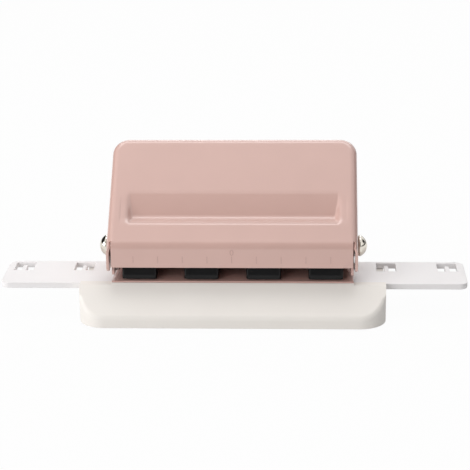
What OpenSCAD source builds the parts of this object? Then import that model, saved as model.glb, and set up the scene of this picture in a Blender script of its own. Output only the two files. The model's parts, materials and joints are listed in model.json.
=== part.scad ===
// Four-hole disc binding punch: a sheet-steel lever over a row of mushroom
// punches, on a white moulded base with a sliding hole gauge and a chip bin.
// Millimetres. +X right, +Y away from the user, +Z up.
// Origin: centre of the base, on the surface that the rubber feet stand on.

/* [Holes] */
// Distance between neighbouring holes
hole_pitch = 25.4; // [22:0.1:30]
// Width of the mushroom's head
head_w = 7; // [6:0.1:8]
// Depth of the mushroom's head, front to back
head_d = 3.4; // [2.8:0.1:4]
// Width of the mushroom's stem
stem_w = 3; // [2.4:0.1:3.6]
// Distance from the middle of the head to the edge of the paper
edge_dist = 5.9; // [5:0.1:7]

/* [Base] */
// Height of the base's deck above its underside
base_h = 14.3; // [13.5:0.1:17]
// Height of the upright edge below the ramps
edge_h = 4.5; // [4:0.1:6]
// Depth of each ramp, front to back
ramp_run = 12.3; // [10:0.1:15]
// Plan radius of the base's corners
corner_r = 11; // [8:0.5:13]
// How far the base stands out beside the lever
base_margin = 11.5; // [9:0.5:15]
// Wall of the moulded base
wall_t = 2.2; // [1.6:0.1:2.6]
// Thickness of the floor under the gauge
floor_t = 1.6; // [1.2:0.1:2.2]
// Length of the solid end blocks that carry the feet
end_block = 8.5; // [7.5:0.1:10]
// Width of the deck's front rail
rail_w = 4; // [3.6:0.1:6]
// Width of the deck's rear rail
rear_rail_w = 5.2; // [5:0.1:8]
// How far the deck's rear corners drop below the deck at the channel
shoulder_drop = 1.6; // [1.2:0.1:2.4]
// Slope of the deck's rear corners, in degrees
shoulder_angle = 23; // [20:1:28]
// Diameter of a rubber foot
foot_d = 6; // [5:0.1:7]
// How far the feet stand out below the base
foot_h = 0.6; // [0.4:0.1:1.2]
// Thickness of the chip cover
cover_t = 1.4; // [1:0.1:1.8]
// Diameter of the chip cover's hinge pin
cover_pin_d = 1.5; // [1.2:0.1:1.8]

/* [Gauge] */
// Length of the gauge
gauge_l = 192; // [180:0.5:210]
// Thickness of the gauge
gauge_t = 2.4; // [2:0.1:3.4]
// How far the gauge's top lies below the deck
gauge_drop = 0.8; // [0.4:0.1:1.2]
// Distance from the gauge's front edge to the middle of the punch heads
punch_setback = 20.5; // [18:0.1:23]
// Width of the gauge behind the paper's edge
gauge_tail = 0.8; // [0.6:0.1:1.6]
// How far the gauge slides each way
gauge_travel = 7.5; // [5:0.1:8]
// Width of a hole window
window_w = 8.1; // [7:0.1:9]
// Depth of a hole window, front to back
window_d = 9.8; // [8:0.1:10.5]
// Width of the pointer in a window
pointer_w = 1.8; // [1.2:0.1:2.4]
// Length of the pointer in a window
pointer_l = 6.4; // [4:0.1:7.5]

/* [Frame] */
// Thickness of the frame's steel sheet
frame_t = 1.1; // [0.9:0.1:2]
// Space between an end block and the frame's cheek
cheek_room = 3.15; // [2.5:0.05:4]
// Height of the throat in the cheeks
throat_h = 2.2; // [1.6:0.1:3]
// How far the die plate's edge lies behind the top of the ramp
plate_inset = 1.35; // [0.8:0.05:1.4]
// How far the die plate's rear edge lies ahead of the rear ramp
plate_rear = 0.75; // [0.4:0.05:1.2]
// Thickness of the guide bridge's sheet
bridge_t = 1.3; // [1:0.1:1.6]
// How far the guide bridge's front flange hangs below its sheet
flange_drop = 1.2; // [0.8:0.1:2]
// Diameter of the frame screws
screw_d = 2.4; // [2:0.1:2.6]

/* [Guide blocks and punches] */
// Width of a guide block
block_w = 14.1; // [13.5:0.1:15]
// Height of a guide block
block_h = 6; // [5:0.1:7]
// Radius of a guide block's front corners
block_r = 1; // [0.6:0.1:2]
// Distance from the die plate's edge to the blocks' front
block_inset = 0.9; // [0.6:0.1:2]
// How far the blocks stand out of the guide bridge
block_proud = 2.4; // [1.5:0.1:3.5]
// Height of the paper slot under the blocks
slot_h = 0.6; // [0.5:0.1:1.4]
// How far a raised punch stays above the paper slot
punch_lift = 0.4; // [0.2:0.1:0.6]
// Length of a punch spring at rest
spring_h = 10.2; // [9:0.1:12]
// Wire of a punch spring
spring_wire = 0.8; // [0.6:0.05:0.9]
// Turns of a punch spring
spring_turns = 4.5; // [3.5:0.5:5]
// Thickness of a punch cap
cap_t = 2; // [1.6:0.1:3]

/* [Lever] */
// Slope of the lever at rest, in degrees
lever_angle = 42; // [38:1:48]
// Length of the lever from its crease to its rear edge
lever_l = 52.2; // [46:0.1:56]
// Thickness of the lever's steel sheet
lever_t = 1.1; // [0.9:0.05:1.3]
// Height of the upright lip below the crease
lip_h = 9.5; // [8:0.1:10.5]
// Plan radius of the lever's rear corners
lever_corner_r = 7; // [5:0.5:9]
// Radius of the lever's drawn edges
lever_edge_r = 3; // [2:0.1:4]
// Depth of the lever's rear wall
rear_wall_d = 9; // [7:0.1:11]
// Distance from the crease to the finger groove's lower edge
groove_start = 10; // [9:0.1:12]
// Length of the finger groove's ledge, along the lever
groove_ledge = 4.3; // [3.5:0.1:5]
// Length of the finger groove, along the lever
groove_run = 15.9; // [13:0.1:18]
// Depth of the finger groove
groove_depth = 3; // [2:0.1:3.4]
// Distance from the groove's end to the lever's side
groove_margin = 6.5; // [5.5:0.1:9]
// Free space between the lever and each cheek
lever_gap = 0.5; // [0.4:0.05:0.8]

/* [Pivot] */
// Swing of the lever from raised to pressed, in degrees
press_angle = 20; // [15:1:21]
// Distance from the pivot back to the punch heads
pivot_setback = 13.5; // [12.5:0.1:15]
// Height of the press bar above the pivot at rest
bar_rise = 11; // [10:0.1:12]
// Diameter of the press bar
bar_d = 6; // [5:0.1:7]
// Diameter of the pivot rivets' shanks
pivot_d = 5; // [4:0.1:6]
// Diameter of the rivets' domes
dome_d = 8.8; // [8:0.1:10]
// Height of the rivets' domes
dome_h = 3.9; // [3:0.1:4.5]
// Distance from the pivot forward to the crease
crease_ahead = 13.2; // [12:0.1:14.5]
// Height of the crease above the pivot
crease_rise = 4.2; // [3:0.1:5]

/* [Hidden] */
$fn = 64;
hole_count = 4;
windows_each_side = 2;

// Clearances
slide_gap = 0.2;
seat_gap = 0.1;
guide_gap = 0.12;
pin_gap = 0.05;
fixed_gap = 0.02;
bar_gap = 0.1;
cover_gap = 0.3;
cut = 1;

// Heights, from the feet up
base_z = foot_h;
deck_z = base_z + base_h;
gauge_z = deck_z - gauge_drop;
channel_z = gauge_z - gauge_t - seat_gap;
bin_z = channel_z - floor_t;
plate_z = deck_z + frame_t;
block_z = plate_z + slot_h;
bridge_z = block_z + block_h;
bridge_top = bridge_z + bridge_t;
cap_z = bridge_top + spring_h;
bar_z = cap_z + cap_t + bar_gap + bar_d / 2;
pivot_z = bar_z - bar_rise;
crease_z = pivot_z + crease_rise;
lip_z = crease_z - lip_h;

// Places from front to back
gauge_w = punch_setback + edge_dist + gauge_tail;
channel_w = gauge_w + 2 * slide_gap;
base_d = 2 * ramp_run + rail_w + channel_w + rear_rail_w;
deck_front = ramp_run - base_d / 2;
deck_back = base_d / 2 - ramp_run;
channel_front = deck_front + rail_w;
channel_back = channel_front + channel_w;
gauge_front = channel_front + slide_gap;
punch_y = gauge_front + punch_setback;
paper_y = punch_y + edge_dist;
plate_front = deck_front + plate_inset;
plate_back = deck_back - plate_rear;
screw_y = (channel_back + deck_back) / 2;
block_front = plate_front + block_inset;
block_back = paper_y - seat_gap;
bridge_front = block_front + block_proud;
bridge_back = paper_y + bridge_t;
cheek_front = block_front + block_proud / 5;
pivot_y = punch_y - pivot_setback;
crease_y = pivot_y - crease_ahead;

// Widths
span = (hole_count - 1) * hole_pitch;
cheek_x = span / 2 + block_w / 2 + cheek_room;
frame_w = 2 * (cheek_x + frame_t);
lever_w = frame_w + 2 * (lever_gap + lever_t);
base_w = lever_w + 2 * base_margin;
bin_w = base_w - 2 * end_block;
bin_d = base_d - 2 * wall_t;

// Mushroom punch
stem_over = 0.4;
head_chamfer = 1;
stem_end = edge_dist + stem_over;
punch_mid = (stem_end - head_d / 2) / 2;
spring_in_r = norm([head_w / 2, punch_mid + head_d / 2]) + 2 * guide_gap;
spring_r = spring_in_r + spring_wire / 2;
cap_rim = 0.2;
cap_d = 2 * (spring_in_r + spring_wire + cap_rim);
punch_z = block_z + punch_lift;

// Swing of the press bar about the pivot
bar_reach = norm([pivot_setback, bar_rise]);
bar_angle = atan2(bar_rise, pivot_setback);
stroke = bar_rise - bar_reach * sin(bar_angle - press_angle);

// Chip openings in the floor and the gauge
chip_margin = 1.2;
chip_front = punch_y - head_d / 2 - chip_margin;
chip_half = span / 2 + head_w / 2 + chip_margin;
notch_half = chip_half + gauge_travel;

// Chip cover hinge
knuckle_wall = 0.75;
knuckle_r = cover_pin_d / 2 + knuckle_wall;
cover_lift = 0.2;
cover_z = base_z + cover_lift;
cover_pin_y = bin_d / 2 - knuckle_r - cover_gap;
cover_pin_z = cover_z + knuckle_r;
pin_seat = 3.5;

// Feet
foot_t = 1.4;
foot_x = base_w / 2 - end_block / 2;
foot_y = base_d / 2 - corner_r + foot_d / 3;

// Screws, rivets and tabs
screw_out = 2;
screw_x = span / 2 + screw_out;
boss_wall = 1.3;
boss_r = screw_d / 2 + boss_wall;
boss_lift = 3.9;
boss_z = base_z + boss_lift;
screw_head_over = 1;
screw_head_r = screw_d / 2 + screw_head_over;
screw_head_h = 1.4;
tab_w = 8;
tab_x = span / 2 + screw_out;
tab_drop = 3.2;
rivet_d = 3;
rivet_head_h = 0.7;
rivet_head_over = 0.6;
rivet_head_r = rivet_d / 2 + rivet_head_over;
rivet_z = (plate_z + throat_h + bridge_z) / 2;
rivet_ys = [pivot_y, punch_y];
side_margin = 1;
block_screw_d = 2;
block_screw_inset = 2.6;
block_screw_x = block_w / 2 - block_screw_inset;
block_screw_y = (block_front + punch_y) / 2;
lobe_wall = 4;
lobe_r = pivot_d / 2 + lobe_wall;
throat_back = bridge_back + seat_gap;
washer_t = lever_gap - seat_gap;

// Colours
paint = "#d4b1a9";
white = "#ece9e4";
black = "#1d2021";
nickel = "#c4bfb6";
steel = "#a9a9a7";
rubber = "#3b3b3b";

function hole_x(i) = (i - (hole_count + 1) / 2) * hole_pitch;

// A point on the lever's side, by its distance along the slope and its depth below it
function on_lever(along, below) =
  [crease_y + along * cos(lever_angle) + below * sin(lever_angle),
   crease_z + along * sin(lever_angle) - below * cos(lever_angle)];

// Plain shapes

// A box on z = 0 with upright round corners
module round_box(w, d, h, r) {
  translate([r - w / 2, -d / 2, 0]) cube([w - 2 * r, d, h]);
  translate([-w / 2, r - d / 2, 0]) cube([w, d - 2 * r, h]);
  for (x = [r - w / 2, w / 2 - r], y = [r - d / 2, d / 2 - r])
    translate([x, y, 0]) cylinder(r = r, h = h);
}

// A side outline of [y, z] points, drawn out along X from x0 to x1
module side_plate(points, x0, x1) {
  translate([x0, 0, 0]) rotate([90, 0, 90]) linear_extrude(x1 - x0) polygon(points);
}

// A rod along X
module rod(d, x0, x1) {
  translate([x0, 0, 0]) rotate([0, 90, 0]) cylinder(d = d, h = x1 - x0);
}

// The outline of a punched hole, grown by gap all round
module mushroom(gap = 0) {
  w = head_w / 2 + gap;
  s = stem_w / 2 + gap;
  f = -head_d / 2 - gap;
  b = head_d / 2 + gap;
  e = stem_end + gap;
  c = head_chamfer;
  polygon([[c - w, f], [w - c, f], [w, f + c], [w, b], [s, b], [s, e],
           [-s, e], [-s, b], [-w, b], [-w, f + c]]);
}

// A prism of that outline at every hole
module mushroom_cuts(gap, z0, z1) {
  for (i = [1 : hole_count])
    translate([hole_x(i), punch_y, z0]) linear_extrude(z1 - z0) mushroom(gap);
}

// Base

module base_outline() {
  half = base_d / 2;
  side_plate([[-half, base_z], [half, base_z], [half, base_z + edge_h], [deck_back, deck_z],
              [deck_front, deck_z], [-half, base_z + edge_h]], -base_w / 2, base_w / 2);
}

// The chip bin follows the ramps at the wall's thickness
module bin_space() {
  half = bin_d / 2;
  rise = base_h - edge_h;
  slope = rise / ramp_run;
  slant = wall_t * norm([1, slope]);
  low = base_z + edge_h - slant + wall_t * slope;
  reach = half - (bin_z - low) / slope;
  side_plate([[-half, base_z - cut], [half, base_z - cut], [half, low], [reach, bin_z],
              [-reach, bin_z], [-half, low]], -bin_w / 2, bin_w / 2);
}

// The deck's rear corners slope down beside the lever, behind the gauge
shoulder_gap = 0.8;
module rear_shoulders() {
  start = frame_w / 2 + shoulder_gap;
  back = base_d / 2 + cut;
  drop = (back - channel_back) * tan(shoulder_angle);
  top = deck_z - shoulder_drop;
  for (side = [0, 1])
    mirror([side, 0, 0])
      side_plate([[channel_back - cut, top + cut * tan(shoulder_angle)], [back, top - drop],
                  [back, deck_z + cut], [channel_back - cut, deck_z + cut]],
                 start, base_w / 2 + cut);
}

// Keeps a full wall between the shoulders and the chip bin under them
module shoulder_floors() {
  start = frame_w / 2 + shoulder_gap - floor_t;
  back = deck_back + 0.6 * ramp_run;
  fall = (back - channel_back) * tan(shoulder_angle);
  top = deck_z - shoulder_drop + seat_gap;
  for (side = [0, 1])
    mirror([side, 0, 0])
      side_plate([[channel_back, top - floor_t], [back, top - fall - floor_t],
                  [back, top - fall], [channel_back, top]], start, bin_w / 2 + floor_t / 2);
}

// The ramp runs on above the deck, up to the die plate's edge
module front_ridge() {
  slope = (base_h - edge_h) / ramp_run;
  back = plate_front - seat_gap;
  top = deck_z + (back - deck_front) * slope;
  side_plate([[deck_front, deck_z - floor_t], [back, deck_z - floor_t], [back, top],
              [deck_front, deck_z]], -frame_w / 2, frame_w / 2);
}

module screw_bosses() {
  for (x = [-screw_x, 0, screw_x])
    translate([x, screw_y, boss_z]) cylinder(r = boss_r, h = bin_z - boss_z + floor_t / 2);
}

// A rib inside the front wall stops the closed chip cover
module cover_ledge() {
  ledge_w = 30;
  ledge_d = 1.4;
  ledge_h = 1.5;
  translate([-ledge_w / 2, -bin_d / 2 - wall_t / 2, cover_z + cover_t + seat_gap])
    cube([ledge_w, ledge_d + wall_t / 2, ledge_h]);
}

module base_tray() {
  color(white) difference() {
    union() {
      difference() {
        intersection() {
          base_outline();
          translate([0, 0, base_z]) round_box(base_w, base_d, base_h, corner_r);
        }
        bin_space();
      }
      screw_bosses();
      cover_ledge();
      front_ridge();
      shoulder_floors();
    }
    translate([-base_w / 2 - cut, channel_front, channel_z])
      cube([base_w + 2 * cut, channel_w, base_h]);
    rear_shoulders();
    translate([-chip_half, chip_front, bin_z - cut])
      cube([2 * chip_half, channel_back - chip_front, base_h]);
    for (x = [-screw_x, 0, screw_x])
      translate([x, screw_y, base_z]) cylinder(d = screw_d + 2 * slide_gap, h = base_h + cut);
    for (x = [-tab_x, tab_x])
      translate([x - tab_w / 2 - seat_gap, plate_front - seat_gap, deck_z - tab_drop - seat_gap])
        cube([tab_w + 2 * seat_gap, frame_t + 2 * seat_gap, base_h]);
    for (x = [-foot_x, foot_x], y = [-foot_y, foot_y])
      translate([x, y, base_z - cut])
        cylinder(d = foot_d + 2 * fixed_gap, h = foot_t - foot_h + cut);
    translate([0, cover_pin_y, cover_pin_z])
      rod(cover_pin_d + 2 * fixed_gap, -bin_w / 2 - pin_seat, bin_w / 2 + pin_seat);
  }
}

module chip_cover() {
  cover_w = bin_w - 2 * cover_gap;
  cover_front = -bin_d / 2 + cover_gap;
  notch_r = 7;
  color(white) difference() {
    union() {
      translate([-cover_w / 2, cover_front, cover_z])
        cube([cover_w, cover_pin_y - cover_front, cover_t]);
      translate([0, cover_pin_y, cover_pin_z]) rod(2 * knuckle_r, -cover_w / 2, cover_w / 2);
    }
    translate([0, cover_pin_y, cover_pin_z])
      rod(cover_pin_d + 2 * pin_gap, -bin_w / 2, bin_w / 2);
    translate([0, cover_front - notch_r / 2, cover_z - cut])
      cylinder(r = notch_r, h = cover_t + 2 * cut);
  }
}

module cover_hinge_pin() {
  color(steel) translate([0, cover_pin_y, cover_pin_z])
    rod(cover_pin_d, -bin_w / 2 - pin_seat, bin_w / 2 + pin_seat);
}

module rubber_feet() {
  color(rubber) for (x = [-foot_x, foot_x], y = [-foot_y, foot_y])
    translate([x, y, 0]) cylinder(d = foot_d, h = foot_t);
}

// Gauge

// A window through the gauge, with a pointer, marks each hole beside the punches
module gauge_window() {
  difference() {
    translate([-window_w / 2, -window_d / 2, -gauge_t - cut])
      cube([window_w, window_d, gauge_t + 2 * cut]);
    translate([-pointer_w / 2, -window_d / 2 - cut, -gauge_t - 2 * cut])
      cube([pointer_w, pointer_l + cut, gauge_t + 4 * cut]);
  }
}

module gauge() {
  gauge_corner_r = 3.5;
  gauge_mid = gauge_front + gauge_w / 2;
  color(white) difference() {
    translate([0, gauge_mid, gauge_z - gauge_t])
      round_box(gauge_l, gauge_w, gauge_t, gauge_corner_r);
    translate([-notch_half, chip_front, gauge_z - gauge_t - cut])
      cube([2 * notch_half, gauge_w, gauge_t + 2 * cut]);
    for (side = [-1, 1], k = [1 : windows_each_side])
      translate([side * (span / 2 + k * hole_pitch), punch_y, gauge_z]) gauge_window();
  }
}

// Frame

// C-shaped side of the frame: a foot behind the paper, a jaw over it and the pivot's lobe
module cheek(x0) {
  x1 = x0 + frame_t;
  jaw_z = plate_z + throat_h;
  difference() {
    union() {
      side_plate([[throat_back, deck_z], [plate_back, deck_z], [plate_back, bridge_top],
                  [throat_back, bridge_top]], x0, x1);
      side_plate([[cheek_front, jaw_z], [plate_back, jaw_z], [plate_back, bridge_top],
                  [pivot_y + lobe_r, bridge_top], [pivot_y + lobe_r, pivot_z],
                  [pivot_y - lobe_r, pivot_z], [cheek_front, bridge_top]], x0, x1);
      translate([0, pivot_y, pivot_z]) rod(2 * lobe_r, x0, x1);
    }
    translate([0, pivot_y, pivot_z]) rod(pivot_d + 2 * fixed_gap, x0 - cut, x1 + cut);
    for (y = rivet_ys)
      translate([0, y, rivet_z]) rod(rivet_d + 2 * fixed_gap, x0 - cut, x1 + cut);
  }
}

module frame() {
  color(paint) difference() {
    union() {
      translate([-frame_w / 2, plate_front, deck_z])
        cube([frame_w, plate_back - plate_front, frame_t]);
      for (x = [-tab_x, tab_x])
        translate([x - tab_w / 2, plate_front, deck_z - tab_drop])
          cube([tab_w, frame_t, tab_drop + frame_t / 2]);
      cheek(cheek_x);
      cheek(-cheek_x - frame_t);
    }
    mushroom_cuts(guide_gap, deck_z - cut, plate_z + cut);
    for (x = [-screw_x, 0, screw_x])
      translate([x, screw_y, deck_z - cut])
        cylinder(d = screw_d + 2 * fixed_gap, h = frame_t + 2 * cut);
  }
}

module frame_screws() {
  color(steel) for (x = [-screw_x, 0, screw_x])
    translate([x, screw_y, 0]) {
      translate([0, 0, boss_z - screw_head_h]) cylinder(r = screw_head_r, h = screw_head_h);
      translate([0, 0, boss_z - screw_head_h / 2])
        cylinder(d = screw_d, h = plate_z - boss_z + screw_head_h / 2);
    }
}

// An upturned tray between the cheeks that the guide blocks hang from
module guide_bridge() {
  half = cheek_x - seat_gap;
  flange_z = plate_z + throat_h;
  depth = bridge_back - bridge_front;
  side_front = pivot_y - rivet_head_r - side_margin;
  color(paint) difference() {
    union() {
      translate([-half, bridge_front, bridge_z]) cube([2 * half, depth, bridge_t]);
      translate([-half, bridge_front, bridge_z - flange_drop])
        cube([2 * half, bridge_t, bridge_t + flange_drop]);
      translate([-half, paper_y, plate_z + seat_gap])
        cube([2 * half, bridge_t, bridge_top - plate_z - seat_gap]);
      for (x = [-half, half - bridge_t])
        translate([x, side_front, flange_z])
          cube([bridge_t, bridge_back - side_front, bridge_top - flange_z]);
    }
    mushroom_cuts(2 * guide_gap, plate_z, bridge_top + cut);
    for (i = [1 : hole_count]) {
      translate([hole_x(i) - block_w / 2 - seat_gap, bridge_front - cut, plate_z])
        cube([block_w + 2 * seat_gap, bridge_t + 2 * cut, bridge_z - plate_z]);
      for (x = [-block_screw_x, block_screw_x])
        translate([hole_x(i) + x, block_screw_y, bridge_z - cut])
          cylinder(d = block_screw_d + 2 * fixed_gap, h = bridge_t + 2 * cut);
    }
    for (side = [-1, 1], y = rivet_ys)
      translate([side * half, y, rivet_z])
        rod(rivet_d + 2 * fixed_gap, -bridge_t - cut, bridge_t + cut);
  }
}

// Flush outside, because the lever passes close to the cheeks
module bridge_rivets() {
  inner = cheek_x - seat_gap - bridge_t;
  color(steel) for (side = [0, 1], y = rivet_ys)
    mirror([side, 0, 0]) translate([0, y, rivet_z]) {
      rod(rivet_d, inner, cheek_x + frame_t);
      rod(2 * rivet_head_r, inner - rivet_head_h, inner);
    }
}

module block_screws() {
  screw_l = 3.5;
  head_over = 0.8;
  head_r = block_screw_d / 2 + head_over;
  head_h = 1.1;
  color(steel) for (i = [1 : hole_count], x = [-block_screw_x, block_screw_x])
    translate([hole_x(i) + x, block_screw_y, bridge_top]) {
      cylinder(r = head_r, h = head_h);
      translate([0, 0, -bridge_t - screw_l])
        cylinder(d = block_screw_d, h = bridge_t + screw_l + head_h / 2);
    }
}

module guide_block(i) {
  depth = block_back - block_front;
  screw_hole = 3.7;
  color(black) translate([hole_x(i), 0, 0]) difference() {
    union() {
      translate([-block_w / 2, block_front + block_r, block_z])
        cube([block_w, depth - block_r, block_h]);
      translate([block_r - block_w / 2, block_front, block_z])
        cube([block_w - 2 * block_r, depth, block_h]);
      for (x = [block_r - block_w / 2, block_w / 2 - block_r])
        translate([x, block_front + block_r, block_z]) cylinder(r = block_r, h = block_h);
    }
    translate([0, punch_y, block_z - cut]) linear_extrude(block_h + 2 * cut) mushroom(guide_gap);
    for (x = [-block_screw_x, block_screw_x])
      translate([x, block_screw_y, bridge_z - screw_hole])
        cylinder(d = block_screw_d + 2 * fixed_gap, h = screw_hole + cut);
  }
}

// Punches

module punch(i) {
  color(steel) translate([hole_x(i), punch_y, punch_z])
    linear_extrude(cap_z - punch_z) mushroom();
}

module punch_cap(i) {
  color(black) translate([hole_x(i), punch_y + punch_mid, cap_z]) cylinder(d = cap_d, h = cap_t);
}

// A spring's wire: an upright leg, the turns, and an upright leg again.
// Each step is an angle and a height.
ring_count = 8;
ring_sides = 6;
leg = spring_wire;
coil_h = spring_h - 2 * leg;
coil_steps = spring_turns * ring_count;
function spring_step(k) =
  k == 0 ? [0, 0] :
  k == coil_steps + 2 ? [spring_turns * 360, spring_h] :
  [(k - 1) * 360 / ring_count, leg + (k - 1) * coil_h / coil_steps];
function spring_point(k) =
  let (s = spring_step(k)) [spring_r * cos(s[0]), spring_r * sin(s[0]), s[1]];
function unit(v) = v / norm(v);
function spring_way(k) =
  k == 0 || k == coil_steps + 2 ? [0, 0, 1] :
  unit(spring_point(k + 1) - spring_point(k - 1));
function spring_ring(k) =
  let (a = spring_step(k)[0],
       out = [cos(a), sin(a), 0],
       side = unit(cross(spring_way(k), out)))
  [for (j = [0 : ring_sides - 1])
     spring_point(k) + spring_wire / 2 *
       (out * cos(j * 360 / ring_sides) + side * sin(j * 360 / ring_sides))];

// Least gap between one turn and the next
spring_gap = min([for (a = [1 : coil_steps + 1], b = [1 : coil_steps + 1])
                    if (b - a > ring_count / 2) norm(spring_point(a) - spring_point(b))]) - spring_wire;
echo("Least gap between a spring's turns, mm", spring_gap);
echo("Stroke of the punches, mm", stroke);

module punch_spring(i) {
  last = coil_steps + 2;
  n = ring_sides;
  points = [for (k = [0 : last]) each spring_ring(k)];
  sides = [for (k = [0 : last - 1], j = [0 : n - 1])
             let (a = k * n + j, b = k * n + (j + 1) % n)
             each [[a, a + n, b], [b, a + n, b + n]]];
  ends = [for (j = [1 : n - 2]) each [[0, j, j + 1], [last * n, last * n + j + 1, last * n + j]]];
  color(nickel) translate([hole_x(i), punch_y + punch_mid, bridge_top])
    polyhedron(points, concat(sides, ends));
}

// Lever

// A tray in the slope's own frame: X across, Y up the slope, Z out of it.
// inset is the wall that is taken off for the inside.
module lever_tray(inset) {
  w = lever_w - 2 * inset;
  l = lever_l - inset;
  r = lever_corner_r - inset;
  e = lever_edge_r - inset;
  ahead = 2 * lip_h;
  depth = 3 * lip_h;
  translate([0, crease_y, crease_z]) rotate([lever_angle, 0, 0]) translate([0, 0, -inset])
    intersection() {
      translate([0, 0, -depth]) {
        translate([-w / 2, -ahead, 0]) cube([w, ahead + l - r, depth]);
        translate([r - w / 2, -ahead, 0]) cube([w - 2 * r, ahead + l, depth]);
        for (x = [r - w / 2, w / 2 - r])
          translate([x, l - r, 0]) cylinder(r = r, h = depth);
      }
      translate([0, -ahead, 0]) {
        translate([-w / 2, 0, -depth]) cube([w, ahead + l, depth - e]);
        translate([e - w / 2, 0, -depth]) cube([w - 2 * e, ahead + l, depth]);
        for (x = [e - w / 2, w / 2 - e])
          translate([x, 0, -e]) rotate([-90, 0, 0]) cylinder(r = e, h = ahead + l);
      }
      translate([-w / 2, -ahead, 0]) {
        translate([0, 0, -depth]) cube([w, ahead + l, depth - e]);
        translate([0, 0, -depth]) cube([w, ahead + l - e, depth]);
        translate([0, ahead + l - e, -e]) rotate([0, 90, 0]) cylinder(r = e, h = w);
      }
    }
}

// Outline of the lever's sides, from the lip round under the pivot to the rear wall
wall_under = 4.9;
wall_low = pivot_z - pivot_d / 2 - wall_under;
wall_nose = 2;
bar_web = 2.2;
bar_along = (punch_y - crease_y) * cos(lever_angle) + (bar_z - crease_z) * sin(lever_angle);
bar_below = (punch_y - crease_y) * sin(lever_angle) - (bar_z - crease_z) * cos(lever_angle);
side_points = [
  [crease_y, wall_low + wall_nose], [crease_y + wall_nose, wall_low],
  [pivot_y + pivot_d / 2, wall_low],
  on_lever(bar_along + bar_d, bar_below + bar_d / 2 + bar_web),
  on_lever(lever_l, rear_wall_d), on_lever(lever_l, -cut), on_lever(-cut, -cut),
  [crease_y, crease_z + cut]];

// The groove's section: a short ledge, then a long floor back to the slope
groove_end = groove_start + groove_run;
groove_skin = 1.5 * lever_t;
groove_points = [
  on_lever(groove_start, 0), on_lever(groove_start + groove_ledge, groove_depth),
  on_lever(groove_end, 0), on_lever(groove_end, -cut), on_lever(groove_start, -cut)];
groove_back = [
  on_lever(groove_start - groove_skin, lever_t / 2),
  on_lever(groove_start + groove_ledge, groove_depth + lever_t),
  on_lever(groove_end + 2 * groove_skin, lever_t / 2)];

module lever() {
  half = lever_w / 2;
  groove_half = half - groove_margin;
  slit_w = 0.9;
  slit_x = half - lever_t - slit_w;
  color(paint) difference() {
    union() {
      difference() {
        intersection() {
          lever_tray(0);
          side_plate(side_points, -half, half);
        }
        intersection() {
          lever_tray(lever_t);
          translate([-half, crease_y + lever_t, wall_low - cut])
            cube([lever_w, 2 * lever_l, 2 * lever_l]);
        }
      }
      side_plate(groove_back, -groove_half - lever_t, groove_half + lever_t);
    }
    side_plate(groove_points, -groove_half, groove_half);
    translate([-half + lever_t, crease_y - cut, wall_low - cut])
      cube([lever_w - 2 * lever_t, 2 * cut + lever_t, lip_z - wall_low + cut]);
    for (side = [0, 1])
      mirror([side, 0, 0]) translate([slit_x, crease_y - cut, wall_low - cut])
        cube([slit_w, 2 * cut + lever_t, crease_z - lever_t - wall_low + cut]);
    translate([0, pivot_y, pivot_z]) rod(pivot_d + 2 * pin_gap, -half - cut, half + cut);
    translate([0, punch_y, bar_z]) rod(bar_neck_d + 2 * fixed_gap, -half - cut, half + cut);
  }
}

bar_step = 1;
bar_neck_d = bar_d - 2 * bar_step;
module press_bar() {
  half = lever_w / 2;
  inner = half - lever_t - fixed_gap;
  color(steel) translate([0, punch_y, bar_z]) {
    rod(bar_d, -inner, inner);
    rod(bar_neck_d, -half, half);
  }
}

// Dome outside the lever, shank through lever and cheek, upset tail inside the cheek
module pivot_rivet(side) {
  tail_over = 0.9;
  tail_r = pivot_d / 2 + tail_over;
  tail_h = 1.2;
  rim_h = 0.5;
  arc_steps = 12;
  tail_x = cheek_x - tail_h;
  dome_x = lever_w / 2 + seat_gap;
  bulge = dome_h - rim_h;
  ball_r = (pow(dome_d / 2, 2) + pow(bulge, 2)) / (2 * bulge);
  ball_x = dome_x + dome_h - ball_r;
  dome_arc = [for (k = [0 : arc_steps])
                let (a = (1 - k / arc_steps) * asin(dome_d / 2 / ball_r))
                [ball_r * sin(a), ball_x + ball_r * cos(a)]];
  color(nickel) mirror([side, 0, 0]) translate([0, pivot_y, pivot_z]) rotate([0, 90, 0])
    rotate_extrude() polygon(concat(
      [[0, tail_x], [tail_r, tail_x], [tail_r, cheek_x], [pivot_d / 2, cheek_x],
       [pivot_d / 2, dome_x], [dome_d / 2, dome_x]], dome_arc));
}

module pivot_washer(side) {
  washer_over = 2;
  washer_d = pivot_d + 2 * washer_over;
  x0 = cheek_x + frame_t;
  color(white) mirror([side, 0, 0]) translate([0, pivot_y, pivot_z]) difference() {
    rod(washer_d, x0, x0 + washer_t);
    rod(pivot_d + 2 * fixed_gap, x0 - cut, x0 + washer_t + cut);
  }
}

base_tray();
chip_cover();
cover_hinge_pin();
rubber_feet();
gauge();
frame();
frame_screws();
guide_bridge();
bridge_rivets();
block_screws();
lever();
press_bar();
pivot_rivet(0);  // right_pivot_rivet
pivot_rivet(1);  // left_pivot_rivet
pivot_washer(0);  // right_pivot_washer
pivot_washer(1);  // left_pivot_washer
for (i = [1 : hole_count]) {
  guide_block(i);
  punch(i);
  punch_cap(i);
  punch_spring(i);
}
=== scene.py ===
"""Looks of a four-hole disc binding punch, laid out as a Blender add-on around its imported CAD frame."""
import json
import math

import bmesh
import bpy
from bpy.props import FloatProperty, FloatVectorProperty, IntProperty, PointerProperty
from mathutils import Matrix, Vector


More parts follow.
